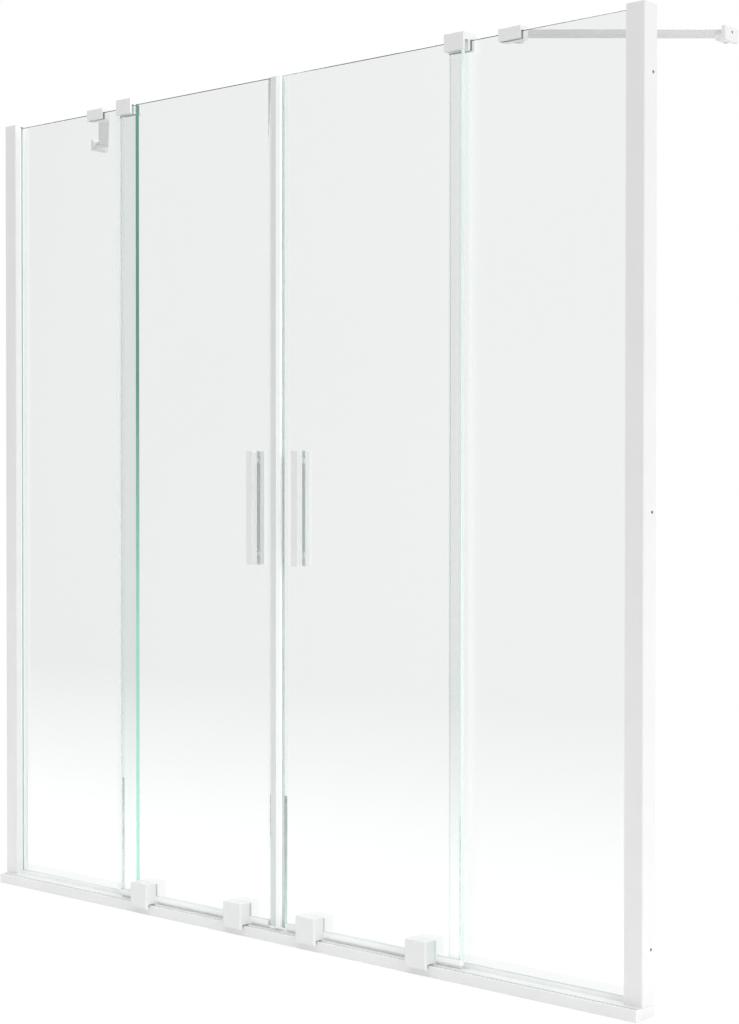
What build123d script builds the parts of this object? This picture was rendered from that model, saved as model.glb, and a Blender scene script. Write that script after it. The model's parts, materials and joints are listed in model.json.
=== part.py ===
from build123d import *
import os
from math import atan2, degrees, hypot

# A bath screen of two fixed glass panels and two doors that slide in front of them.
# All sizes are in millimetres. X runs along the bath and is 0 at the screen's middle,
# Y points from the room to the bath and is 0 at the middle of the bottom rail, and
# Z is 0 at the rail's underside. Setbacks are measured from the rail's front face.

# Overall
overall_width = 1496.0
overall_height = 1500.0
glass_thickness = 8.0
glass_arris = 0.6
door_setback = 17.0
panel_gap = 5.5
running_gap = 0.3
pin_fit = 0.02
wheel_fit = 0.05
face_gap = 0.2

# Bottom rail
rail_height = 18.0
rail_wall = 2.0
rail_front_round = 1.5
rail_web_setback = 25.0
track_setback = 6.0
track_width = 6.4
track_depth = 2.4
rail_cap_thickness = 4.0
rail_cap_round = 2.0
rail_plug_length = 10.0

# Wall profile and the glass channel inside it
profile_width = 33.0
profile_wall = 2.0
profile_corner_round = 3.0
profile_cap_thickness = 2.0
cap_plug_length = 6.0
channel_width = 26.0
channel_wall = 1.6
channel_entry = 15.0
channel_front_room = 7.3
channel_back_room = 3.8
gasket_lip = 1.3
gasket_base = 1.5
wall_hole_radius = 2.5
wall_hole_inset = 101.0
wall_hole_setback = 39.0
lock_screw_radius = 2.0
lock_screw_head = 3.6
lock_screw_length = 6.0
lock_screw_inset = 250.0

# Fixed panels
fixed_top_drop = 4.2
panel_overlap = 33.4
seat_base = 3.0
seat_wall = 1.0
seat_height = 7.0

# Doors
door_top_drop = 1.5
door_clearance = 6.0
door_width = 393.5
meeting_gap = 25.0

# Seals
seal_wall = 0.9
meeting_leg = 8.0
meeting_bulb_depth = 16.0
magnet_width = 5.0
magnet_depth = 8.0
overlap_leg = 6.0
overlap_reach = 12.5
overlap_wall = 1.2
overlap_round = 4.0
drip_leg = 8.0
drip_lip = 1.2

# Roller carriages
carriage_width = 44.5
carriage_inset = 53.0
carriage_rise = 39.0
carriage_front = 7.5
carriage_clearance = 1.5
carriage_lip = 5.0
carriage_lip_drop = 6.0
carriage_round = 3.0
carriage_top_round = 1.0
clamp_pad = 0.8
wheel_radius = 9.0
wheel_width = 5.0
wheel_chamfer = 0.4
wheel_side_gap = 0.5
wheel_rim_gap = 1.0
axle_radius = 2.0
axle_length = 18.0
plate_width = 36.0
plate_height = 28.0
plate_thickness = 3.0
plate_rise = 2.0
plate_round = 1.5
plate_screw_rise = 21.0
plate_screw_spacing = 22.0
plate_screw_radius = 2.5
plate_screw_head = 4.4
plate_screw_length = 19.0
screw_sleeve = 1.5

# Bar handles
handle_inset = 41.5
handle_width = 15.4
handle_length = 198.5
handle_front_depth = 12.4
handle_rear_depth = 10.6
handle_round = 0.8
handle_screw_spacing = 160.0
handle_screw_radius = 2.5
handle_screw_head = 4.8
handle_screw_length = 29.0
bush_flange = 1.5
bush_radius = 6.8
bush_collar_radius = 4.5
bush_collar = 3.5

# Top guides
guide_width = 40.0
guide_grip = 17.0
guide_crown = 12.0
guide_front_wall = 2.7
guide_back_wall = 5.8
guide_round = 1.0
liner_wall = 1.4
liner_gap = 0.6
liner_rise = 1.7

# Clamps on the fixed glass
pad_wall = 1.0
grub_radius = 2.5
grub_socket = 1.25
grub_rise = 5.5
guide_grub_spacing = 18.0

# Stays
stay_clamp_inset = 118.8
stay_clamp_width = 43.0
stay_grip = 12.6
stay_crown = 8.0
stay_plate = 1.8
stay_jaw = 11.5
stay_jaw_round = 0.8
stay_pivot_reach = 5.0
stay_lug_radius = 8.5
stay_grub_spacing = 30.0
stay_bar_width = 20.0
stay_bar_height = 9.7
stay_bar_drop = 3.3
stay_bar_round = 0.5
bracket_setback = 243.5
bracket_length = 40.0
bracket_height = 22.0
bracket_plate = 6.5
bracket_reach = 20.0
bracket_chamfer = 1.0
bracket_lug_length = 28.5
bracket_lug_taper = 3.5
bracket_hole_setback = 265.2
bracket_hole_rise = 14.8
bracket_screw_setback = 266.4
bracket_screw_reach = 11.8
stay_screw_radius = 2.0
stay_screw_head = 3.6
stay_screw_length = 15.0

# Screw drives
socket_share = 0.55
socket_depth = 1.5

# Places along the bath
half_width = overall_width / 2
profile_x = half_width - profile_width
channel_x = profile_x + channel_width
fixed_outer_x = profile_x + channel_entry
door_inner_x = meeting_gap / 2
door_outer_x = door_inner_x + door_width
fixed_inner_x = door_outer_x - panel_overlap
carriage_offset = carriage_inset + carriage_width / 2
carriage_spots = {
    "inner": door_inner_x + carriage_offset,
    "outer": door_outer_x - carriage_offset,
}
handle_x = door_inner_x + handle_inset
guide_x = fixed_inner_x
guide_end_x = guide_x + guide_width
stay_x = fixed_inner_x + stay_clamp_inset
stay_clamp_x = stay_x - stay_clamp_width / 2
stay_clamp_end_x = stay_x + stay_clamp_width / 2
bracket_plate_x = half_width - bracket_plate
bracket_screw_x = half_width - bracket_screw_reach

# Places from the room to the bath
gasket_cover = gasket_lip + channel_wall
channel_cover = channel_wall + face_gap + profile_wall
rail_depth = (
    door_setback + 2 * glass_thickness + panel_gap + gasket_cover + channel_back_room + channel_cover
)
front = -rail_depth / 2
door_front = front + door_setback
door_back = door_front + glass_thickness
door_middle = (door_front + door_back) / 2
fixed_front = door_back + panel_gap
fixed_back = fixed_front + glass_thickness
profile_front = fixed_front - gasket_cover - channel_front_room - channel_cover
profile_back = fixed_back + gasket_cover + channel_back_room + channel_cover
channel_front = profile_front + profile_wall + face_gap
channel_back = profile_back - profile_wall - face_gap
track_y = front + track_setback
housing_front = front - carriage_front
housing_back = door_front - clamp_pad
plate_front = door_back + clamp_pad
plate_back = plate_front + plate_thickness
handle_front_y = door_front - bush_flange - handle_front_depth
handle_rear_y = door_back + bush_flange + handle_rear_depth
liner_front = door_front - liner_gap - liner_wall
liner_back = door_back + liner_gap + liner_wall
saddle_front = fixed_front - pad_wall
saddle_back = fixed_back + pad_wall
guide_front = liner_front - guide_front_wall
guide_back = saddle_back + guide_back_wall
stay_jaw_back = saddle_back + stay_jaw
stay_pivot_y = stay_jaw_back + stay_pivot_reach
bracket_front = front + bracket_setback
bracket_screw_y = front + bracket_screw_setback

# Heights
profile_top = overall_height - profile_cap_thickness
fixed_bottom = rail_height + seat_base
fixed_top = overall_height - fixed_top_drop
door_bottom = rail_height + door_clearance
door_top = fixed_top - door_top_drop
track_floor = rail_height - track_depth
wheel_z = track_floor + running_gap + wheel_radius
carriage_top = rail_height + carriage_rise
carriage_underside = rail_height + carriage_clearance
carriage_lip_bottom = rail_height - carriage_lip_drop
plate_bottom = door_bottom + plate_rise
plate_top = plate_bottom + plate_height
plate_screw_z = door_bottom + plate_screw_rise
handle_z = overall_height / 2
handle_screw_heights = [handle_z - handle_screw_spacing / 2, handle_z + handle_screw_spacing / 2]
guide_bottom = fixed_top - guide_grip
guide_top = fixed_top + guide_crown
liner_ceiling = door_top + liner_rise
saddle_top = fixed_top + pad_wall
stay_clamp_bottom = fixed_top - stay_grip
stay_clamp_top = fixed_top + stay_crown
stay_bar_bottom = fixed_top - stay_bar_drop
stay_bar_top = stay_bar_bottom + stay_bar_height
bracket_top = stay_clamp_bottom + bracket_height


def block(x0, x1, y0, y1, z0, z1):
    """A box between two corners."""
    middle = Pos((x0 + x1) / 2, (y0 + y1) / 2, (z0 + z1) / 2)
    return middle * Box(x1 - x0, y1 - y0, z1 - z0)


def rod_x(radius, y, z, x0, x1):
    """A round bar along X."""
    return Pos((x0 + x1) / 2, y, z) * Rot(0, 90, 0) * Cylinder(radius, x1 - x0)


def rod_y(radius, x, z, y0, y1):
    """A round bar along Y."""
    return Pos(x, (y0 + y1) / 2, z) * Rot(90, 0, 0) * Cylinder(radius, y1 - y0)


def rod_z(radius, x, y, z0, z1):
    """A round bar along Z."""
    return Pos(x, y, (z0 + z1) / 2) * Cylinder(radius, z1 - z0)


def sunk_head(radius, head_radius, length):
    """A countersunk head at the origin with its shank along +Z."""
    head_height = head_radius - radius
    head = Pos(0, 0, head_height / 2) * Cone(head_radius, radius, head_height)
    shank = Pos(0, 0, length / 2) * Cylinder(radius, length)
    return head + shank


def sunk_screw(radius, head_radius, length):
    """A countersunk screw with a hexagon socket."""
    socket = extrude(RegularPolygon(radius * socket_share, 6), socket_depth)
    return sunk_head(radius, head_radius, length) - socket


def sunk_hole(radius, head_radius, length):
    """The hole that a countersunk screw of that size sits in."""
    return sunk_head(radius + pin_fit, head_radius + pin_fit, length)


def grub_screw(length):
    """A headless screw along +Z with its socket at the origin."""
    socket = extrude(RegularPolygon(grub_socket, 6), socket_depth)
    return Pos(0, 0, length / 2) * Cylinder(grub_radius, length) - socket


def grub_hole(length):
    """The hole of a headless screw."""
    return Pos(0, 0, length / 2) * Cylinder(grub_radius + pin_fit, length)


def facing(x, y, z, direction):
    """The place at a point, with +Z turned to the direction."""
    return Plane(origin=(x, y, z), z_dir=direction).location


def edges_along(shape, axis, side_axis, side):
    """The edges along one axis on the low (0) or high (-1) side of another axis."""
    return shape.edges().filter_by(axis).group_by(side_axis)[side]


def mirrored(shape):
    """The same shape on the other side of the screen's middle."""
    return mirror(shape, about=Plane.YZ)


def group(shapes):
    """Several separate solids as one shape."""
    return Compound([solid for shape in shapes for solid in shape.solids()])


def both_sides(shapes):
    """Shapes of the right-hand half together with their mirror images."""
    return group(shapes + [mirrored(shape) for shape in shapes])


def save(name, shape):
    """Write one node."""
    export_step(shape, f"parts/{name}.step")


def save_pair(name, shape):
    """Write a right-hand node and its mirror image as the left-hand one."""
    save(f"{name}_right", shape)
    save(f"{name}_left", mirrored(shape))


# Bottom rail
def rail_chambers(x0, x1, gap):
    """The two hollows of the rail, each drawn in by a gap."""
    inset = rail_wall + gap
    web = front + rail_web_setback
    web_side = rail_wall / 2 + gap
    front_room = block(x0, x1, front + inset, web - web_side, inset, track_floor - inset)
    back_room = block(x0, x1, web + web_side, profile_back - inset, inset, rail_height - inset)
    return front_room + back_room


def rail_outline(x0, x1):
    """The rail's outer form with its rounded top front edge."""
    bar = block(x0, x1, front, profile_back, 0, rail_height)
    return fillet(edges_along(bar, Axis.X, Axis.Z, -1).sort_by(Axis.Y)[0], rail_front_round)


def bottom_rail():
    """The extrusion that the doors roll on and the fixed panels stand on."""
    end = half_width - rail_cap_thickness
    groove_front = track_y - track_width / 2
    groove_back = track_y + track_width / 2
    rail = rail_outline(-end, end)
    rail -= block(-end, end, groove_front, groove_back, track_floor, rail_height)
    return rail - rail_chambers(-end, end, 0)


def rail_end_cap():
    """A cap that closes the rail's end, with plugs in its hollows."""
    start = half_width - rail_cap_thickness
    plate = rail_outline(start, half_width)
    corner = edges_along(plate, Axis.Z, Axis.Y, 0).sort_by(Axis.X)[-1]
    plate = fillet(corner, rail_cap_round)
    return plate + rail_chambers(start - rail_plug_length, start, face_gap)


# Wall profile
def wall_hole_heights():
    """The heights of the three wall fixings."""
    return [wall_hole_inset, overall_height / 2, overall_height - wall_hole_inset]


def lock_screw_places():
    """The screws that lock the glass channel, pointing into the profile from behind."""
    x = (profile_x + channel_x) / 2
    heights = [lock_screw_inset, overall_height / 2, overall_height - lock_screw_inset]
    return [facing(x, profile_back, z, (0, -1, 0)) for z in heights]


def lock_screw_holes():
    """The holes of those screws."""
    hole = sunk_hole(lock_screw_radius, lock_screw_head, lock_screw_length)
    return group([place * hole for place in lock_screw_places()])


def lock_screws():
    """The screws themselves."""
    screw = sunk_screw(lock_screw_radius, lock_screw_head, lock_screw_length)
    return [place * screw for place in lock_screw_places()]


def profile_outline(z0, z1):
    """The wall profile's outer form with its rounded front corner."""
    post = block(profile_x, half_width, profile_front, profile_back, z0, z1)
    corner = edges_along(post, Axis.Z, Axis.Y, 0).sort_by(Axis.X)[-1]
    return fillet(corner, profile_corner_round)


def wall_profile():
    """The channel on the wall, open towards the glass."""
    profile = profile_outline(rail_height, profile_top)
    profile -= block(
        profile_x,
        half_width - profile_wall,
        profile_front + profile_wall,
        profile_back - profile_wall,
        rail_height,
        profile_top,
    )
    for z in wall_hole_heights():
        profile -= rod_x(wall_hole_radius, front + wall_hole_setback, z, channel_x, half_width)
    return profile - lock_screw_holes()


def glass_slot(z0, z1):
    """The slot in the glass channel that the glass and its gasket fill."""
    slot_end = fixed_outer_x + gasket_base
    return block(profile_x, slot_end, fixed_front - gasket_lip, fixed_back + gasket_lip, z0, z1)


def channel_rooms(z0, z1, gap):
    """The two hollows of the glass channel, each drawn in by a gap."""
    x0 = profile_x + channel_wall + gap
    x1 = channel_x - channel_wall - gap
    inset = channel_wall + gap
    front_room = block(x0, x1, channel_front + inset, fixed_front - gasket_cover - gap, z0, z1)
    back_room = block(x0, x1, fixed_back + gasket_cover + gap, channel_back - inset, z0, z1)
    return front_room + back_room


def glass_channel():
    """The inner extrusion that holds the fixed panel's edge."""
    channel = block(profile_x, channel_x, channel_front, channel_back, rail_height, profile_top)
    channel -= channel_rooms(rail_height, profile_top, 0)
    channel -= glass_slot(rail_height, profile_top)
    return channel - lock_screw_holes()


def glass_gasket():
    """The gasket round the fixed panel's edge, inside the channel."""
    gasket = glass_slot(fixed_bottom, fixed_top)
    return gasket - block(profile_x, fixed_outer_x, fixed_front, fixed_back, fixed_bottom, fixed_top)


def profile_top_cap():
    """The cap on top of the wall profile, with plugs in the glass channel."""
    cap = profile_outline(profile_top, overall_height)
    return cap + channel_rooms(profile_top - cap_plug_length, profile_top, face_gap)


# Fixed panels
def fixed_glass():
    """A fixed glass panel."""
    glass = block(fixed_inner_x, fixed_outer_x, fixed_front, fixed_back, fixed_bottom, fixed_top)
    return chamfer(glass.edges(), glass_arris)


def fixed_glass_seat():
    """The strip that the fixed panel stands in."""
    slot_front = fixed_front - face_gap
    slot_back = fixed_back + face_gap
    x1 = profile_x - face_gap
    top = rail_height + seat_height
    strip = block(fixed_inner_x, x1, slot_front - seat_wall, slot_back + seat_wall, rail_height, top)
    return strip - block(fixed_inner_x, x1, slot_front, slot_back, fixed_bottom, top)


# Doors
def door_glass():
    """A door's glass, drilled for its carriages and its handle."""
    glass = block(door_inner_x, door_outer_x, door_front, door_back, door_bottom, door_top)
    glass = chamfer(glass.edges(), glass_arris)
    sleeve = plate_screw_radius + screw_sleeve
    for x in carriage_spots.values():
        for screw_x in plate_screw_spots(x):
            glass -= rod_y(sleeve, screw_x, plate_screw_z, door_front, door_back)
    for z in handle_screw_heights:
        glass -= rod_y(bush_collar_radius + face_gap, handle_x, z, door_front, door_back)
    return glass


def clip(x0, x1, z0, z1):
    """The strip of a seal that wraps the door's glass over a stretch."""
    return block(x0, x1, door_front - seal_wall, door_back + seal_wall, z0, z1)


def meeting_pocket():
    """The magnet's place inside the meeting seal."""
    x0 = running_gap / 2 + seal_wall
    half = magnet_depth / 2
    return block(x0, x0 + magnet_width, door_middle - half, door_middle + half, door_bottom, door_top)


def meeting_seal():
    """The seal on a door's inner edge, with a bulb that holds the magnet."""
    legs_end = door_inner_x + meeting_leg
    half = meeting_bulb_depth / 2
    bulb_start = running_gap / 2
    bulb_end = door_inner_x - seal_wall
    seal = clip(bulb_end, legs_end, door_bottom, door_top)
    seal -= block(door_inner_x, legs_end, door_front, door_back, door_bottom, door_top)
    bulb = block(bulb_start, bulb_end, door_middle - half, door_middle + half, door_bottom, door_top)
    bulb = fillet(bulb.edges().filter_by(Axis.Z), seal_wall)
    return seal + bulb - meeting_pocket()


def overlap_fin(tip, low_y, round_radius, z0, z1):
    """A rounded strip beyond the door's edge that turns back towards the fixed panel."""
    strip = block(door_outer_x + seal_wall, tip, low_y, fixed_front - running_gap, z0, z1)
    corner = edges_along(strip, Axis.Z, Axis.Y, 0).sort_by(Axis.X)[-1]
    return fillet(corner, round_radius)


def overlap_seal():
    """The seal on a door's outer edge, with a fin that closes the gap to the fixed panel."""
    z0 = door_bottom + drip_leg
    z1 = guide_bottom - seal_wall
    legs_end = door_outer_x - overlap_leg
    tip = door_outer_x + overlap_reach
    seal = clip(legs_end, door_outer_x + seal_wall, z0, z1)
    seal -= block(legs_end, door_outer_x, door_front, door_back, z0, z1)
    fin = overlap_fin(tip, door_front, overlap_round, z0, z1)
    fin -= overlap_fin(tip - overlap_wall, door_front + overlap_wall, overlap_round - overlap_wall, z0, z1)
    return seal + fin


def drip_spans():
    """The stretches of the door's bottom edge that no carriage or seal covers."""
    reach = carriage_width / 2 + face_gap
    inner = carriage_spots["inner"]
    outer = carriage_spots["outer"]
    first = door_inner_x + meeting_leg + face_gap
    return [(first, inner - reach), (inner + reach, outer - reach), (outer + reach, door_outer_x)]


def door_drip_seal():
    """The seal below the door's glass, cut to fit between the carriages."""
    web_bottom = door_bottom - seal_wall
    lip_bottom = rail_height + running_gap
    lip_front = door_middle - drip_lip / 2
    strips = []
    for x0, x1 in drip_spans():
        strip = clip(x0, x1, web_bottom, door_bottom + drip_leg)
        strip -= block(x0, x1, door_front, door_back, door_bottom, door_bottom + drip_leg)
        strip += block(x0, x1, lip_front, lip_front + drip_lip, lip_bottom, web_bottom)
        strips.append(strip)
    return group(strips)


# Carriages
def plate_screw_spots(x):
    """Where the two clamp screws of a carriage are along the bath."""
    return [x - plate_screw_spacing / 2, x + plate_screw_spacing / 2]


def plate_screw_places(x):
    """The clamp screws' places, pointing forward from the rear plate."""
    return [facing(spot, plate_back, plate_screw_z, (0, -1, 0)) for spot in plate_screw_spots(x)]


def plate_screw_holes(x):
    """The holes of a carriage's clamp screws."""
    hole = sunk_hole(plate_screw_radius, plate_screw_head, plate_screw_length)
    return group([place * hole for place in plate_screw_places(x)])


def carriage_screws(x):
    """The clamp screws of one carriage."""
    screw = sunk_screw(plate_screw_radius, plate_screw_head, plate_screw_length)
    return [place * screw for place in plate_screw_places(x)]


def clamp_block(x, y0, y1):
    """A flat block with the outline of the clamped area of the door's glass."""
    half = plate_width / 2
    return block(x - half, x + half, y0, y1, plate_bottom, plate_top)


def carriage_housing(x):
    """The block in front of the glass that holds the wheel and hooks over the rail."""
    x0 = x - carriage_width / 2
    x1 = x + carriage_width / 2
    lip_back = housing_front + carriage_lip
    housing = block(x0, x1, housing_front, housing_back, carriage_lip_bottom, carriage_top)
    housing -= block(x0, x1, lip_back, housing_back, carriage_lip_bottom, carriage_underside)
    housing = fillet(edges_along(housing, Axis.Z, Axis.Y, 0), carriage_round)
    top_edges = housing.faces().sort_by(Axis.Z)[-1].edges().sort_by(Axis.Y)[:-1]
    housing = fillet(top_edges, carriage_top_round)
    reach = wheel_radius + wheel_rim_gap
    half = wheel_width / 2 + wheel_side_gap
    pocket = block(x - reach, x + reach, track_y - half, track_y + half, carriage_underside, wheel_z + reach)
    housing -= pocket
    housing -= rod_y(axle_radius + pin_fit, x, wheel_z, housing_back - axle_length, housing_back)
    return housing - plate_screw_holes(x)


def carriage_plate(x):
    """The plate that clamps the glass from behind."""
    plate = clamp_block(x, plate_front, plate_back)
    plate = fillet(plate.edges().filter_by(Axis.Y), plate_round)
    return plate - plate_screw_holes(x)


def carriage_pads(x):
    """The thin pads between the glass and its two clamps."""
    sleeve = plate_screw_radius + screw_sleeve
    pads = []
    for y0 in (housing_back, door_back):
        pad = clamp_block(x, y0, y0 + clamp_pad)
        for spot in plate_screw_spots(x):
            pad -= rod_y(sleeve, spot, plate_screw_z, y0, y0 + clamp_pad)
        pads.append(pad)
    return pads


def wheel_axle(x):
    """The pin that the wheel turns on."""
    return rod_y(axle_radius, x, wheel_z, housing_back - axle_length, housing_back)


def wheel(x):
    """The wheel that rolls in the rail's groove."""
    y0 = track_y - wheel_width / 2
    y1 = track_y + wheel_width / 2
    disc = rod_y(wheel_radius, x, wheel_z, y0, y1)
    disc = chamfer(disc.edges().filter_by(GeomType.CIRCLE), wheel_chamfer)
    return disc - rod_y(axle_radius + wheel_fit, x, wheel_z, y0, y1)


# Handles
def handle_screw_places():
    """The handle screws' places, pointing forward from the rear bar."""
    return [facing(handle_x, handle_rear_y, z, (0, -1, 0)) for z in handle_screw_heights]


def handle_bar(y0, y1):
    """One bar of the handle, drilled for its screws."""
    x0 = handle_x - handle_width / 2
    z0 = handle_z - handle_length / 2
    bar = block(x0, x0 + handle_width, y0, y1, z0, z0 + handle_length)
    bar = fillet(bar.edges(), handle_round)
    for place in handle_screw_places():
        bar -= place * sunk_hole(handle_screw_radius, handle_screw_head, handle_screw_length)
    return bar


def bush(z, y_flange, y_face, y_collar):
    """A flanged bush in the glass at one height."""
    shape = rod_y(bush_radius, handle_x, z, min(y_flange, y_face), max(y_flange, y_face))
    shape += rod_y(bush_collar_radius, handle_x, z, min(y_flange, y_collar), max(y_flange, y_collar))
    return shape - rod_y(handle_screw_radius + pin_fit, handle_x, z, handle_front_y, handle_rear_y)


def handle_bushes():
    """The bushes that keep the bars and the screws off the glass."""
    bushes = []
    for z in handle_screw_heights:
        bushes.append(bush(z, door_front - bush_flange, door_front, door_front + bush_collar))
        bushes.append(bush(z, door_back + bush_flange, door_back, door_back - bush_collar))
    return group(bushes)


def handle_screws():
    """The screws that pull the two bars together."""
    screw = sunk_screw(handle_screw_radius, handle_screw_head, handle_screw_length)
    return group([place * screw for place in handle_screw_places()])


# Top guides
def saddle(x0, x1, z0):
    """A rubber saddle over the top edge of the fixed glass."""
    return saddle_slot(x0, x1, z0) - block(x0, x1, fixed_front, fixed_back, z0, fixed_top)


def saddle_slot(x0, x1, z0):
    """The slot that a saddle fills."""
    return block(x0, x1, saddle_front, saddle_back, z0, saddle_top)


def grub_places(x, spacing, y, z):
    """The places of a clamp's two grub screws, pointing forward from its back."""
    return [facing(x + offset, y, z, (0, -1, 0)) for offset in (-spacing / 2, spacing / 2)]


def guide_grub_places():
    """Where a guide's grub screws are."""
    return grub_places(guide_x + guide_width / 2, guide_grub_spacing, guide_back, guide_bottom + grub_rise)


def guide_liner():
    """The slippery lining of the slot that the door's top edge runs in."""
    liner = block(guide_x, guide_end_x, liner_front, liner_back, guide_bottom, liner_ceiling + liner_wall)
    slot_front = liner_front + liner_wall
    slot_back = liner_back - liner_wall
    return liner - block(guide_x, guide_end_x, slot_front, slot_back, guide_bottom, liner_ceiling)


def top_guide():
    """The block that grips the fixed panel's corner and guides the door's top edge."""
    guide = block(guide_x, guide_end_x, guide_front, guide_back, guide_bottom, guide_top)
    guide = fillet(guide.edges(), guide_round)
    guide -= block(guide_x, guide_end_x, liner_front, liner_back, guide_bottom, liner_ceiling + liner_wall)
    guide -= saddle_slot(guide_x, guide_end_x, guide_bottom)
    for place in guide_grub_places():
        guide -= place * grub_hole(guide_back_wall)
    return guide


# Stays
def stay_grub_places():
    """Where a stay clamp's grub screws are."""
    return grub_places(stay_x, stay_grub_spacing, stay_jaw_back, stay_clamp_bottom + grub_rise)


def stay_screw_places():
    """The places of the screws at the two ends of a stay, pointing up."""
    clamp_end = facing(stay_x, stay_pivot_y, stay_clamp_bottom, (0, 0, 1))
    wall_end = facing(bracket_screw_x, bracket_screw_y, stay_clamp_bottom, (0, 0, 1))
    return [clamp_end, wall_end]


def stay_screw_holes():
    """The holes of those screws."""
    hole = sunk_hole(stay_screw_radius, stay_screw_head, stay_screw_length)
    return group([place * hole for place in stay_screw_places()])


def stay_screws():
    """The screws that hold one stay bar on its lugs."""
    screw = sunk_screw(stay_screw_radius, stay_screw_head, stay_screw_length)
    return [place * screw for place in stay_screw_places()]


def stay_clamp():
    """The clamp on the fixed panel's top edge, with a lug under the stay bar."""
    plate_y = saddle_front - stay_plate
    clamp = block(stay_clamp_x, stay_clamp_end_x, plate_y, stay_jaw_back, stay_clamp_bottom, stay_clamp_top)
    clamp = fillet(clamp.edges().filter_by(Axis.X), stay_jaw_round)
    x0 = stay_x - stay_lug_radius
    x1 = stay_x + stay_lug_radius
    clamp += block(x0, x1, saddle_back, stay_pivot_y, stay_clamp_bottom, stay_bar_bottom)
    clamp += rod_z(stay_lug_radius, stay_x, stay_pivot_y, stay_clamp_bottom, stay_bar_bottom)
    clamp -= saddle_slot(stay_clamp_x, stay_clamp_end_x, stay_clamp_bottom)
    for place in stay_grub_places():
        clamp -= place * grub_hole(stay_jaw)
    return clamp - stay_screw_holes()


def stay_bar():
    """The flat bar, cut parallel to the glass at one end and to the wall at the other."""
    run = bracket_screw_x - stay_x
    rise = bracket_screw_y - stay_pivot_y
    reach = hypot(run, rise) + 2 * stay_bar_width
    half = stay_bar_width / 2
    bar = block(-reach, reach, -half, half, stay_bar_bottom, stay_bar_top)
    bar = fillet(bar.edges().filter_by(Axis.X), stay_bar_round)
    bar = Pos(stay_x, stay_pivot_y, 0) * Rot(0, 0, degrees(atan2(rise, run))) * bar
    bar &= block(0, bracket_plate_x, stay_jaw_back, overall_width, stay_bar_bottom, stay_bar_top)
    return bar - stay_screw_holes()


def wall_bracket():
    """The bracket on the side wall, with a tapered lug under the bar's end."""
    plate_end = bracket_front + bracket_length
    lug_x = half_width - bracket_reach
    plate = block(bracket_plate_x, half_width, bracket_front, plate_end, stay_clamp_bottom, bracket_top)
    plate = chamfer(edges_along(plate, Axis.Y, Axis.Z, -1).sort_by(Axis.X)[0], bracket_chamfer)
    outline = [
        (lug_x, stay_bar_bottom),
        (lug_x + bracket_lug_taper, stay_clamp_bottom),
        (bracket_plate_x, stay_clamp_bottom),
        (bracket_plate_x, stay_bar_bottom),
    ]
    lug = extrude(Plane.XZ.offset(-bracket_front) * Polygon(*outline, align=None), -bracket_lug_length)
    hole_y = front + bracket_hole_setback
    hole_z = stay_clamp_bottom + bracket_hole_rise
    bracket = plate + lug - rod_x(wall_hole_radius, hole_y, hole_z, bracket_plate_x, half_width)
    return bracket - stay_screw_holes()


os.makedirs("parts", exist_ok=True)

save("bottom_rail", bottom_rail())
save("rail_end_caps", both_sides([rail_end_cap()]))
save_pair("wall_profile", wall_profile())
save_pair("glass_channel", glass_channel())
save_pair("glass_gasket", glass_gasket())
save("profile_top_caps", both_sides([profile_top_cap()]))
save("profile_lock_screws", both_sides(lock_screws()))
save_pair("fixed_glass", fixed_glass())
save("fixed_glass_seats", both_sides([fixed_glass_seat()]))

save_pair("top_guide", top_guide())
save_pair("guide_liner", guide_liner())
save_pair("stay_clamp", stay_clamp())
save_pair("stay_bar", stay_bar())
save_pair("wall_bracket", wall_bracket())
save("stay_screws", both_sides(stay_screws()))
guide_saddle = saddle(guide_x, guide_end_x, guide_bottom)
stay_saddle = saddle(stay_clamp_x, stay_clamp_end_x, stay_clamp_bottom)
save("glass_clamp_pads", both_sides([guide_saddle, stay_saddle]))
guide_grubs = [place * grub_screw(guide_back_wall) for place in guide_grub_places()]
stay_grubs = [place * grub_screw(stay_jaw) for place in stay_grub_places()]
save("glass_clamp_screws", both_sides(guide_grubs + stay_grubs))

save_pair("door_glass", door_glass())
save_pair("meeting_seal", meeting_seal())
save_pair("meeting_magnet", meeting_pocket())
save_pair("overlap_seal", overlap_seal())
save_pair("door_drip_seal", door_drip_seal())
save_pair("handle_front", handle_bar(handle_front_y, door_front - bush_flange))
save_pair("handle_rear", handle_bar(door_back + bush_flange, handle_rear_y))
save_pair("handle_bushes", handle_bushes())
save_pair("handle_screws", handle_screws())

for spot, x in carriage_spots.items():
    housing = carriage_housing(x)
    save(f"carriage_right_{spot}", housing)
    save(f"carriage_left_{spot}", mirrored(housing))
    save(f"wheel_right_{spot}", wheel(x))
    save(f"wheel_left_{spot}", mirrored(wheel(x)))
spots = carriage_spots.values()
save_pair("carriage_plates", group([carriage_plate(x) for x in spots]))
save_pair("carriage_pads", group([pad for x in spots for pad in carriage_pads(x)]))
save_pair("carriage_screws", group([screw for x in spots for screw in carriage_screws(x)]))
save_pair("wheel_axles", group([wheel_axle(x) for x in spots]))
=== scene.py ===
import json
import math

import bmesh
import bpy
from mathutils import Matrix, Vector


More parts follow.
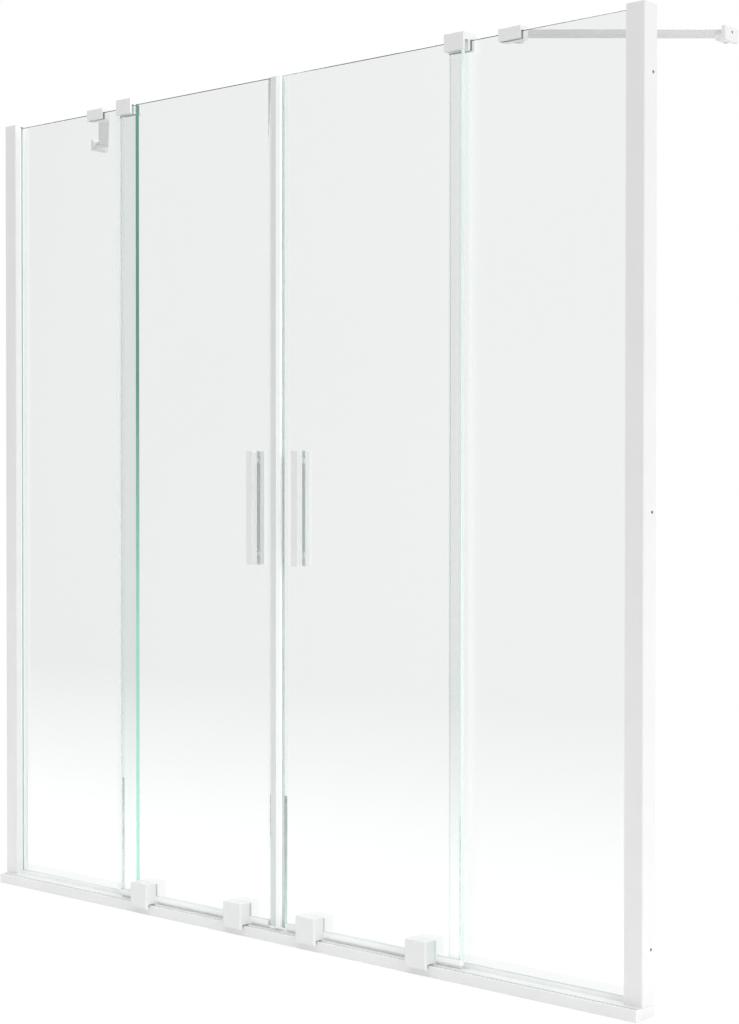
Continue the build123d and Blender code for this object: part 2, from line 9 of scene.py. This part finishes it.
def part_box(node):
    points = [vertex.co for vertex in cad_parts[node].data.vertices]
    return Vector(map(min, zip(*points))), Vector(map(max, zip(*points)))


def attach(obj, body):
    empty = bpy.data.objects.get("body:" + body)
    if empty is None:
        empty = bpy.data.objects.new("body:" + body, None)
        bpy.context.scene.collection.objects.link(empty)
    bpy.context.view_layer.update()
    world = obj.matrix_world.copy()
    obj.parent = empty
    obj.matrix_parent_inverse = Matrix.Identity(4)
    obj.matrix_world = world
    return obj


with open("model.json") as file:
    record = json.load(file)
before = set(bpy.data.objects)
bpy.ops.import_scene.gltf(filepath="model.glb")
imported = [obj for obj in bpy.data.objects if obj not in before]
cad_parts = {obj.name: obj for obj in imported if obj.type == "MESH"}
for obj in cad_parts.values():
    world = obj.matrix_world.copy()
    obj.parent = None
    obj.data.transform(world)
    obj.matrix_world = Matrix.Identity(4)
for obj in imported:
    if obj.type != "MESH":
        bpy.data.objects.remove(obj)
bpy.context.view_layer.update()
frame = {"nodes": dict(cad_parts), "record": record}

# The camera that was solved from the photograph. Angles are in degrees.
FRAME_HEIGHT = 1024
FOCAL_PIXELS = 1887.4
SENSOR = 36.0
CAMERA_PLACE = (2.2676, -2.3616, 0.7889)
CAMERA_YAW = 41.12
CAMERA_PITCH = -0.799
CAMERA_ROLL = 0.03
CAMERA_CLIP_END = 100.0

# The card before the screen: its place and reach
CARD_DISTANCE = 0.12
CARD_LEFT = -9.0
CARD_RIGHT = 6.0
CARD_TOP = 4.0

# How bright sharp reflections see the card, below and above its fade
CARD_FOOT = 1.9
CARD_HEAD = 0.04
FADE_START = 0.07
FADE_END = 0.43

# How bright soft reflections see the card, at the foot and at the height of its soft top
SOFT_FOOT = 0.9
SOFT_HEAD = 0.8
SOFT_TOP = 1.5

# The light of the sky: its level, what is added to the right and up, and what the front lacks
SKY_LEVEL = 0.97
SKY_RIGHT = -0.1
SKY_UP = 0.25
SKY_FRONT = 0.3

# The soft key light: where it comes from, how wide it is in degrees, and its strength
KEY_FROM = (0.955, -0.18, 0.22)
KEY_WIDTH = 35.0
KEY_STRENGTH = 1.3

# The softbox above the screen
TOP_PLACE = (0.0, 0.1, 3.6)
TOP_TARGET = (0.0, 0.1, 0.0)
TOP_WIDTH = 3.0
TOP_DEPTH = 2.4
TOP_POWER = 75.0

# The floor: its half size, its paint, and the share of plain white near the object,
# which grows to all white from the fade's start to the floor's reach
FLOOR_REACH = 2.1
FLOOR_PAINT = (0.9, 0.9, 0.9, 1.0)
FLOOR_SHARE = 0.94
FLOOR_FADE = 1.2

# Clear glass: its tint at each face, what a light ray keeps there, and its green depth
GLASS_LOW = (0.962, 0.968, 0.968)
GLASS_HIGH = (0.972, 0.978, 0.978)
GLASS_IOR = 1.52
GLASS_PASSING = (0.94, 0.95, 0.945, 1.0)
GLASS_DEPTH = (0.0, 0.5, 0.33, 1.0)
GLASS_DENSITY = 3.4

# Clear plastic: its see-through colour, and how solid its film looks face on and at a slant; the rise
# at a slant is partly the milky wall seen edge on and partly a painted highlight
PLASTIC_CLEAR = (0.99, 0.996, 0.994, 1.0)
FILM = (0.06, 0.4)
MILKY = (0.97, 1.0)

# How far from the middle of the screen the meeting seals are solid, and over what it ends
BULB_REACH = 0.0132
BULB_BLEND = 0.0003

# The skin on the ground ends of the panes: its gap to the glass, its thickness, how far it
# stops short of the pane's ends, and the pane's bevel
EDGE_GAP = 0.00001
EDGE_SKIN = 0.00002
EDGE_INSET = 0.0006
ARRIS = 0.0006

# Between these heights the ground ends turn from their foot's colour to their head's; the paler foot
# is painted light from the floor
EDGE_FOOT = 0.5
EDGE_HEAD = 1.3

# How a grain is drawn out along a piece
ALONG_X = (0.02, 1.0, 1.0)
ALONG_Z = (1.0, 1.0, 0.02)
EVEN = (1.0, 1.0, 1.0)

# The darkest and lightest tone of each finish; the stay bars' and the left meeting seal's tones are
# darker copies that paint shade
SATIN = ((0.79, 0.79, 0.79), (0.81, 0.81, 0.81))
# Painted shade: the satin's tone made darker for the stay bars, to keep their slanted faces as dark
# as the fronts
STAY_SHADED = ((0.68, 0.68, 0.68), (0.70, 0.70, 0.70))
STEEL = ((0.55, 0.55, 0.56), (0.62, 0.62, 0.63))
WHITE = ((0.93, 0.95, 0.94), (0.96, 0.97, 0.965))
# Painted shade: the white seal's tones greyed, for the face of the left meeting seal
SHADED_WHITE = ((0.66, 0.69, 0.68), (0.70, 0.73, 0.72))
MAGNET = ((0.56, 0.57, 0.57), (0.62, 0.63, 0.63))
RUBBER = ((0.44, 0.45, 0.45), (0.50, 0.51, 0.51))
GASKET = ((0.90, 0.91, 0.90), (0.94, 0.95, 0.94))
NYLON = ((0.80, 0.80, 0.78), (0.85, 0.85, 0.83))

# The foot's and the head's tone of each ground end, the foot's made paler by painted floor light
GREEN_END_FLOOR_LIT = ((0.33, 0.68, 0.58), (0.10, 0.27, 0.20))
PALE_END_FLOOR_LIT = ((0.86, 0.93, 0.91), (0.80, 0.88, 0.85))


def new_material(name):
    """A material, its node tree and its Principled shader."""
    material = bpy.data.materials.new(name)
    material.use_nodes = True
    tree = material.node_tree
    return material, tree, tree.nodes["Principled BSDF"]


def bare_material(name):
    """A material with nothing in its node tree but an output."""
    material = bpy.data.materials.new(name)
    material.use_nodes = True
    tree = material.node_tree
    tree.nodes.clear()
    return material, tree, add(tree, "ShaderNodeOutputMaterial")


def add(tree, kind, **values):
    """A node with its properties set."""
    node = tree.nodes.new(kind)
    for key, value in values.items():
        setattr(node, key, value)
    return node


def maths(tree, operation, *values):
    """A Math node on numbers and sockets."""
    node = add(tree, "ShaderNodeMath", operation=operation)
    for socket, value in zip(node.inputs, values):
        if isinstance(value, float):
            socket.default_value = value
        else:
            tree.links.new(value, socket)
    return node.outputs["Value"]


def split(tree, source):
    """The X, Y and Z of a vector."""
    node = add(tree, "ShaderNodeSeparateXYZ")
    tree.links.new(source, node.inputs["Vector"])
    return node.outputs


def own_place(tree):
    """A point's place in the piece's own space, in metres."""
    return add(tree, "ShaderNodeTexCoord").outputs["Object"]


def mixed(tree, share, first, second):
    """The first shader where the share is 0, and the second where it is 1."""
    node = add(tree, "ShaderNodeMixShader")
    tree.links.new(share, node.inputs["Fac"])
    tree.links.new(first, node.inputs[1])
    tree.links.new(second, node.inputs[2])
    return node.outputs["Shader"]


def see_through(tree, colour=(1.0, 1.0, 1.0, 1.0)):
    """A Transparent shader."""
    node = add(tree, "ShaderNodeBsdfTransparent")
    node.inputs["Color"].default_value = colour
    return node.outputs["BSDF"]


def surface_of(tree, shader):
    """Sets a material's final shader."""
    tree.links.new(shader, tree.nodes["Material Output"].inputs["Surface"])


def noise(tree, scale, detail, roughness, stretch=EVEN):
    """A noise in the piece's own space, drawn out along the axes."""
    mapping = add(tree, "ShaderNodeMapping")
    mapping.inputs["Scale"].default_value = stretch
    tree.links.new(own_place(tree), mapping.inputs["Vector"])
    texture = add(tree, "ShaderNodeTexNoise")
    texture.inputs["Scale"].default_value = scale
    texture.inputs["Detail"].default_value = detail
    texture.inputs["Roughness"].default_value = roughness
    tree.links.new(mapping.outputs["Vector"], texture.inputs["Vector"])
    return texture.outputs["Fac"]


def ramp(tree, source, low, high, start=0.3, end=0.7):
    """A value turned into a colour between two."""
    node = add(tree, "ShaderNodeValToRGB")
    elements = node.color_ramp.elements
    elements[0].position = start
    elements[1].position = end
    elements[0].color = (*low, 1.0)
    elements[1].color = (*high, 1.0)
    tree.links.new(source, node.inputs["Fac"])
    return node.outputs["Color"]


def span(tree, source, low, high, start=0.3, end=0.7):
    """A value mapped to a span of numbers."""
    node = add(tree, "ShaderNodeMapRange")
    node.inputs["From Min"].default_value = start
    node.inputs["From Max"].default_value = end
    node.inputs["To Min"].default_value = low
    node.inputs["To Max"].default_value = high
    tree.links.new(source, node.inputs["Value"])
    return node.outputs["Result"]


def bump(tree, shader, source, strength, distance):
    """A bump from a value."""
    node = add(tree, "ShaderNodeBump")
    node.inputs["Strength"].default_value = strength
    node.inputs["Distance"].default_value = distance
    tree.links.new(source, node.inputs["Height"])
    tree.links.new(node.outputs["Normal"], shader.inputs["Normal"])


def coat(tree, shader, colour, rough, source):
    """The colour of a surface, and a roughness that varies with a value."""
    tree.links.new(colour, shader.inputs["Base Color"])
    tree.links.new(span(tree, source, *rough), shader.inputs["Roughness"])


def metal(name, tones, rough, stretch, grain_scale, metallic=0.3, grain=0.08):
    """Satin metal: a fine directional grain, faint mottling and a roughness that varies."""
    material, tree, shader = new_material(name)
    shader.inputs["Metallic"].default_value = metallic
    lines = noise(tree, scale=grain_scale, detail=4.0, roughness=0.6, stretch=stretch)
    mottle = noise(tree, scale=14.0, detail=2.0, roughness=0.5)
    coat(tree, shader, ramp(tree, mottle, *tones), rough, lines)
    bump(tree, shader, lines, strength=grain, distance=0.00005)
    return material


def clear_glass():
    """Toughened clear glass, with a green depth and the faint wave of the rollers."""
    material, tree, shader = new_material("clear_glass")
    cloud = noise(tree, scale=1.5, detail=1.0, roughness=0.4)
    tree.links.new(ramp(tree, cloud, GLASS_LOW, GLASS_HIGH), shader.inputs["Base Color"])
    shader.inputs["Roughness"].default_value = 0.0
    shader.inputs["IOR"].default_value = GLASS_IOR
    shader.inputs["Transmission Weight"].default_value = 1.0
    wave = noise(tree, scale=3.0, detail=1.0, roughness=0.4, stretch=(1.0, 1.0, 0.3))
    bump(tree, shader, wave, strength=0.02, distance=0.0005)
    path = add(tree, "ShaderNodeLightPath").outputs
    light = maths(tree, "MAXIMUM", path["Is Shadow Ray"], path["Is Diffuse Ray"])
    surface_of(tree, mixed(tree, light, shader.outputs["BSDF"], see_through(tree, GLASS_PASSING)))
    depth = add(tree, "ShaderNodeVolumeAbsorption")
    depth.inputs["Color"].default_value = GLASS_DEPTH
    depth.inputs["Density"].default_value = GLASS_DENSITY
    tree.links.new(depth.outputs["Volume"], tree.nodes["Material Output"].inputs["Volume"])
    return material


def clear_plastic(name, stretch, film=FILM, tones=WHITE, solid_reach=0.0):
    """A clear soft extrusion: a thin milky film with streaks along its length.

    With a solid reach it is co-extruded: milky all through up to that far from the
    middle of the screen, and clear beyond.
    """
    material, tree, shader = new_material(name)
    streaks = noise(tree, scale=260.0, detail=2.0, roughness=0.5, stretch=stretch)
    cloud = noise(tree, scale=9.0, detail=2.0, roughness=0.5)
    coat(tree, shader, ramp(tree, cloud, *tones), (0.25, 0.4), streaks)
    bump(tree, shader, streaks, strength=0.1, distance=0.0001)

    # The film grows at a slant: partly the milky wall seen edge on, partly a painted highlight for
    # its grazing reflection
    facing = add(tree, "ShaderNodeLayerWeight").outputs["Facing"]
    behind = add(tree, "ShaderNodeNewGeometry").outputs["Backfacing"]
    before = maths(tree, "SUBTRACT", 1.0, behind)
    share = maths(tree, "MULTIPLY", span(tree, facing, *film, 0.2, 0.95), before)
    if solid_reach:
        across = maths(tree, "ABSOLUTE", split(tree, own_place(tree))["X"])
        solid = span(tree, across, 1.0, 0.0, solid_reach, solid_reach + BULB_BLEND)
        share = maths(tree, "MAXIMUM", share, solid)
    clear = see_through(tree, PLASTIC_CLEAR)
    surface_of(tree, mixed(tree, share, clear, shader.outputs["BSDF"]))
    return material


def ground_edge(name, tones, way):
    """The ground end of a pane: frosted, and paler towards the foot by painted light from the floor.

    It covers only what looks away from the pane, so that nothing of it shows from
    inside the glass. The way is 1 where that is away from the middle of the screen,
    and -1 where it is towards it.
    """
    material, tree, shader = new_material(name)
    grain = noise(tree, scale=2500.0, detail=3.0, roughness=0.6)
    height = split(tree, own_place(tree))["Z"]
    # Painted floor light: the colour pales by height towards the foot
    coat(tree, shader, ramp(tree, height, *tones, EDGE_FOOT, EDGE_HEAD), (0.3, 0.5), grain)
    bump(tree, shader, grain, strength=0.15, distance=0.00003)
    side = maths(tree, "SIGN", split(tree, own_place(tree))["X"])
    facing = split(tree, add(tree, "ShaderNodeNewGeometry").outputs["Normal"])["X"]
    outward = maths(tree, "MULTIPLY", facing, side)
    cover = span(tree, outward, 0.0, 1.0, 0.2 * way, 0.4 * way)
    surface_of(tree, mixed(tree, cover, see_through(tree), shader.outputs["BSDF"]))
    return material


def moulded(name, tones, rough, grain_scale, depth):
    """Moulded plastic or rubber with a fine pitted skin."""
    material, tree, shader = new_material(name)
    skin = noise(tree, scale=grain_scale, detail=4.0, roughness=0.6)
    cloud = noise(tree, scale=30.0, detail=2.0, roughness=0.5)
    coat(tree, shader, ramp(tree, cloud, *tones), rough, skin)
    bump(tree, shader, skin, strength=0.2, distance=depth)
    return material


materials = {
    "rail_metal": metal("rail_metal", SATIN, (0.38, 0.48), ALONG_X, 900.0),
    "post_metal": metal("post_metal", SATIN, (0.38, 0.48), ALONG_Z, 900.0),
    "fitting_metal": metal("fitting_metal", SATIN, (0.38, 0.46), EVEN, 1800.0, grain=0.03),
    # The stay bars' darker satin is painted shade
    "stay_metal_shaded": metal("stay_metal_shaded", STAY_SHADED, (0.38, 0.46), ALONG_X, 900.0, grain=0.03),
    "screw_steel": metal("screw_steel", STEEL, (0.25, 0.40), EVEN, 2500.0, metallic=1.0),
    "clear_glass": clear_glass(),
    "clear_seal_x": clear_plastic("clear_seal_x", ALONG_X),
    "clear_seal_z": clear_plastic("clear_seal_z", ALONG_Z),
    "milky_seal": clear_plastic("milky_seal", ALONG_X, film=MILKY),
    "white_seal": clear_plastic("white_seal", ALONG_Z, solid_reach=BULB_REACH),
    # The left meeting seal is the white seal with painted shade in its colour
    "shaded_white_seal": clear_plastic("shaded_white_seal", ALONG_Z, tones=SHADED_WHITE, solid_reach=BULB_REACH),
    "green_edge": ground_edge("green_edge", GREEN_END_FLOOR_LIT, -1.0),
    "pale_edge": ground_edge("pale_edge", PALE_END_FLOOR_LIT, 1.0),
    "magnet_strip": moulded("magnet_strip", MAGNET, (0.6, 0.8), 1200.0, depth=0.00005),
    "grey_rubber": moulded("grey_rubber", RUBBER, (0.55, 0.75), 1500.0, depth=0.00005),
    "pale_rubber": moulded("pale_rubber", GASKET, (0.5, 0.7), 1500.0, depth=0.00005),
    "white_nylon": moulded("white_nylon", NYLON, (0.35, 0.5), 900.0, depth=0.00003),
}

# A node takes its slot's material, unless it is one of the special ones
SLOTS = {
    "profile_metal": "post_metal",
    "fitting_metal": "fitting_metal",
    "screw_steel": "screw_steel",
    "clear_glass": "clear_glass",
    "clear_seal": "clear_seal_x",
    "white_seal": "white_seal",
    "magnet_strip": "magnet_strip",
    "grey_rubber": "grey_rubber",
    "white_nylon": "white_nylon",
}
SPECIAL = {
    "bottom_rail": "rail_metal",
    "rail_end_caps": "rail_metal",
    "overlap_seal_left": "clear_seal_z",
    "overlap_seal_right": "clear_seal_z",
    "meeting_seal_left": "shaded_white_seal",
    "stay_bar_left": "stay_metal_shaded",
    "stay_bar_right": "stay_metal_shaded",
    "door_drip_seal_left": "milky_seal",
    "door_drip_seal_right": "milky_seal",
    "fixed_glass_seats": "milky_seal",
    "glass_gasket_left": "pale_rubber",
    "glass_gasket_right": "pale_rubber",
}


def dress():
    """Gives each node of the frame its material."""
    for part in frame["record"]["subparts"]:
        node = frame["nodes"][part["node"]]
        name = SPECIAL.get(part["node"], SLOTS[part["material_slot"]])
        for material_slot in node.material_slots:
            material_slot.material = materials[name]


def add_object(name, data):
    """An object of the scene."""
    thing = bpy.data.objects.new(name, data)
    bpy.context.scene.collection.objects.link(thing)
    return thing


def edge_strip(name, body, material, low, high, outward):
    """The ground end face of a pane and its two small bevels, as one thin skin.

    Low and high are the corners of the pane's box. Outward is 1 for the pane's end on
    the right, and -1 for the one on the left.
    """
    end = high[0] if outward > 0.0 else low[0]
    front = low[1]
    back = high[1]
    near = EDGE_GAP
    far = EDGE_GAP + EDGE_SKIN
    outline = [
        (-ARRIS, front - far),
        (far, front + ARRIS),
        (far, back - ARRIS),
        (-ARRIS, back + far),
        (-ARRIS, back + near),
        (near, back - ARRIS),
        (near, front + ARRIS),
        (-ARRIS, front - near),
    ]
    mesh = bpy.data.meshes.new(name)
    shape = bmesh.new()
    rings = []
    for z in (low[2] + EDGE_INSET, high[2] - EDGE_INSET):
        rings.append([shape.verts.new((end + outward * x, y, z)) for x, y in outline])
    foot, head = rings
    count = len(outline)
    for i in range(count):
        j = (i + 1) % count
        shape.faces.new((foot[i], foot[j], head[j], head[i]))
    for ring in rings:
        shape.faces.new(ring)
    bmesh.ops.recalc_face_normals(shape, faces=shape.faces[:])
    shape.to_mesh(mesh)
    shape.free()
    mesh.materials.append(materials[material])
    strip = add_object(name, mesh)
    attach(strip, body)


def make_edges():
    """The ground ends of the panes that stand free or show through a seal."""
    for side, inward in (("left", 1.0), ("right", -1.0)):
        low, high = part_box("fixed_glass_" + side)
        edge_strip("fixed_edge_" + side, "frame", "green_edge", low, high, inward)
        low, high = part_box("door_glass_" + side)
        edge_strip("door_edge_" + side, "door_" + side, "pale_edge", low, high, -inward)


def seen_rays(tree):
    """1 for rays from the camera, a mirror-like surface or through glass, else 0.

    A ray that has left a matt surface is light, even where it then goes through glass.
    """
    path = add(tree, "ShaderNodeLightPath").outputs
    first = maths(tree, "MAXIMUM", path["Is Camera Ray"], path["Is Glossy Ray"])
    both = maths(tree, "MAXIMUM", first, path["Is Transmission Ray"])
    matt = maths(tree, "LESS_THAN", path["Diffuse Depth"], 0.5)
    return maths(tree, "MULTIPLY", both, matt)


def make_world():
    """A white backdrop, and a soft light that is stronger from above and weaker from the front."""
    world = bpy.data.worlds.new("studio")
    bpy.context.scene.world = world
    world.use_nodes = True
    tree = world.node_tree
    tree.nodes.clear()
    output = add(tree, "ShaderNodeOutputWorld")
    direction = add(tree, "ShaderNodeTexCoord").outputs["Generated"]
    lean = add(tree, "ShaderNodeVectorMath", operation="DOT_PRODUCT")
    lean.inputs[1].default_value = (SKY_RIGHT, 0.0, SKY_UP)
    tree.links.new(direction, lean.inputs[0])
    level = span(tree, split(tree, direction)["Y"], SKY_LEVEL - SKY_FRONT, SKY_LEVEL, -1.0, 0.0)
    lit = add(tree, "ShaderNodeBackground")
    total = maths(tree, "ADD", lean.outputs["Value"], level)
    tree.links.new(total, lit.inputs["Strength"])
    seen = add(tree, "ShaderNodeBackground")
    seen.inputs["Color"].default_value = (1.0, 1.0, 1.0, 1.0)
    sky = mixed(tree, seen_rays(tree), lit.outputs["Background"], seen.outputs["Background"])
    tree.links.new(sky, output.inputs["Surface"])


def plane(name, corners, material):
    """A flat four-cornered sheet, linked to the scene."""
    mesh = bpy.data.meshes.new(name)
    mesh.from_pydata(corners, [], [(0, 1, 2, 3)])
    mesh.materials.append(material)
    sheet = add_object(name, mesh)
    return sheet


def make_floor():
    """A pale floor that melts into the backdrop and keeps a soft shadow near the object."""
    material, tree, output = bare_material("floor")
    paint = add(tree, "ShaderNodeBsdfDiffuse")
    paint.inputs["Color"].default_value = FLOOR_PAINT
    white = add(tree, "ShaderNodeEmission")
    length = add(tree, "ShaderNodeVectorMath", operation="LENGTH")
    tree.links.new(own_place(tree), length.inputs[0])
    fade = span(tree, length.outputs["Value"], FLOOR_SHARE, 1.0, FLOOR_FADE, FLOOR_REACH)
    seen = maths(tree, "MULTIPLY", seen_rays(tree), fade)
    look = mixed(tree, seen, paint.outputs["BSDF"], white.outputs["Emission"])
    tree.links.new(look, output.inputs["Surface"])
    reach = FLOOR_REACH
    corners = [(-reach, -reach, 0.0), (reach, -reach, 0.0), (reach, reach, 0.0), (-reach, reach, 0.0)]
    plane("floor", corners, material)


def make_card():
    """A card before the screen that only reflections see, as a flag in a studio.

    Sharp reflections, as in the glass, see it white at the foot and dark above, and soft
    ones, as in satin metal, see it pale all over.
    """
    material, tree, output = bare_material("card")
    height = split(tree, own_place(tree))["Z"]
    sharp = add(tree, "ShaderNodeEmission")
    fade = span(tree, height, CARD_FOOT, CARD_HEAD, FADE_START, FADE_END)
    tree.links.new(fade, sharp.inputs["Strength"])
    soft = add(tree, "ShaderNodeEmission")
    pale = span(tree, height, SOFT_FOOT, SOFT_HEAD, 0.0, SOFT_TOP)
    tree.links.new(pale, soft.inputs["Strength"])
    path = add(tree, "ShaderNodeLightPath").outputs
    look = mixed(tree, path["Is Singular Ray"], soft.outputs["Emission"], sharp.outputs["Emission"])
    mirrored = maths(tree, "GREATER_THAN", path["Glossy Depth"], 0.5)
    tree.links.new(mixed(tree, mirrored, see_through(tree), look), output.inputs["Surface"])
    y = -CARD_DISTANCE
    foot = [(CARD_LEFT, y, 0.0), (CARD_RIGHT, y, 0.0)]
    head = [(CARD_RIGHT, y, CARD_TOP), (CARD_LEFT, y, CARD_TOP)]
    card = plane("card", foot + head, material)
    card.visible_camera = False
    card.visible_diffuse = False
    card.visible_shadow = False


def make_top_light():
    """A softbox above the screen that points straight down."""
    data = bpy.data.lights.new("lamp_top", "AREA")
    data.shape = "RECTANGLE"
    data.size = TOP_WIDTH
    data.size_y = TOP_DEPTH
    data.energy = TOP_POWER
    lamp = add_object("lamp_top", data)
    direction = Vector(TOP_TARGET) - Vector(TOP_PLACE)
    turn = direction.to_track_quat("-Z", "Y").to_matrix().to_4x4()
    lamp.matrix_world = Matrix.Translation(TOP_PLACE) @ turn
    lamp.visible_camera = False
    lamp.visible_transmission = False


def make_key_light():
    """A broad soft light from far away on the right."""
    data = bpy.data.lights.new("lamp_key", "SUN")
    data.angle = math.radians(KEY_WIDTH)
    data.energy = KEY_STRENGTH
    lamp = add_object("lamp_key", data)
    lamp.matrix_world = Vector(KEY_FROM).to_track_quat("Z", "Y").to_matrix().to_4x4()
    lamp.visible_camera = False
    lamp.visible_transmission = False
    lamp.visible_glossy = False


def make_camera():
    """The camera of the photograph."""
    data = bpy.data.cameras.new("camera")
    data.sensor_fit = "VERTICAL"
    data.sensor_height = SENSOR
    data.lens = FOCAL_PIXELS * SENSOR / FRAME_HEIGHT
    data.clip_end = CAMERA_CLIP_END
    camera = add_object("camera", data)
    turn = Matrix.Rotation(math.radians(CAMERA_YAW), 4, "Z")
    tilt = Matrix.Rotation(math.radians(90.0 + CAMERA_PITCH), 4, "X")
    roll = Matrix.Rotation(math.radians(CAMERA_ROLL), 4, "Z")
    camera.matrix_world = Matrix.Translation(CAMERA_PLACE) @ turn @ tilt @ roll
    bpy.context.scene.camera = camera


dress()
make_edges()
make_world()
make_floor()
make_card()
make_top_light()
make_key_light()
make_camera()

bpy.context.scene.view_settings.view_transform = "Standard"
